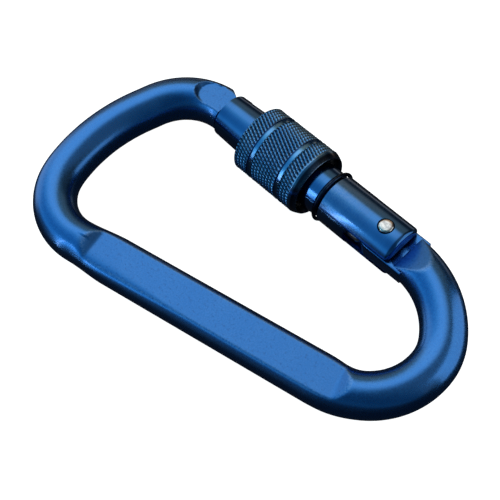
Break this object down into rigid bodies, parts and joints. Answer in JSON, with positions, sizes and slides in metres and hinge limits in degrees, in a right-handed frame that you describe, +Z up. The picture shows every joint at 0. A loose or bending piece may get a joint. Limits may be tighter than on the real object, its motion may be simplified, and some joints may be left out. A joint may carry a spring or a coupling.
{
  "type": "locking carabiner",
  "caption": "Asymmetric D locking carabiner of bent, pressed bar with a sprung hinged gate and a knurled screw sleeve that closes over the nose.",
  "frame": {"origin": "middle of the footprint, at the height of the lowest point of the sleeve, on the surface that the carabiner lies on", "axes": "+Z up, normal to the body's plane; +X along the gate's axis from the nose to the hinge; +Y from the spine towards the gate"},
  "size_m": [0.0832, 0.0476, 0.0132],
  "materials": {
    "anodised_bar": "blue anodised, satin",
    "anodised_gate": "blue anodised, glossy turned",
    "anodised_sleeve": "blue anodised over knurling",
    "rivet_steel": "bright peened",
    "spring_steel": "drawn wire",
    "black_steel": "blackened",
    "black_plastic": "moulded"
  },
  "bodies": {
    "body": {"body": "anodised_bar"},
    "gate": {"gate": "anodised_gate", "hinge_rivet": "rivet_steel", "stop_ring": "black_steel", "gate_spring": "spring_steel"},
    "plunger": {"spring_plunger": "rivet_steel"},
    "sleeve_guide": {"friction_ring": "black_plastic"},
    "sleeve": {"locking_sleeve": "anodised_sleeve"}
  },
  "joints": [
    {"name": "gate_hinge", "type": "hinge", "parent": "body", "child": "gate", "pos_m": [0.01619, 0.01723, 0.0066], "axis": [0, 0, 1], "range_deg": [0, 35], "stiffness_Nm_per_rad": 0.09, "springref_deg": -37.82},
    {"name": "plunger_slide", "type": "slide", "parent": "gate", "child": "plunger", "axis": [1, 0, 0], "range_m": [-0.0023, 0], "deforming": ["gate_spring"]},
    {"name": "sleeve_travel", "type": "slide", "parent": "gate", "child": "sleeve_guide", "axis": [1, 0, 0], "range_m": [-0.0115, 0.0036]},
    {"name": "sleeve_turn", "type": "hinge", "parent": "sleeve_guide", "child": "sleeve", "pos_m": [0.01619, 0.01723, 0.0066], "axis": [1, 0, 0], "range_deg": [-1658, 520]}
  ],
  "couplings": [
    {"joint": "plunger_slide", "follows": "gate_hinge", "m_per_rad": -0.00324},
    {"joint": "sleeve_turn", "follows": "sleeve_travel", "rad_per_m": 2513.3}
  ]
}
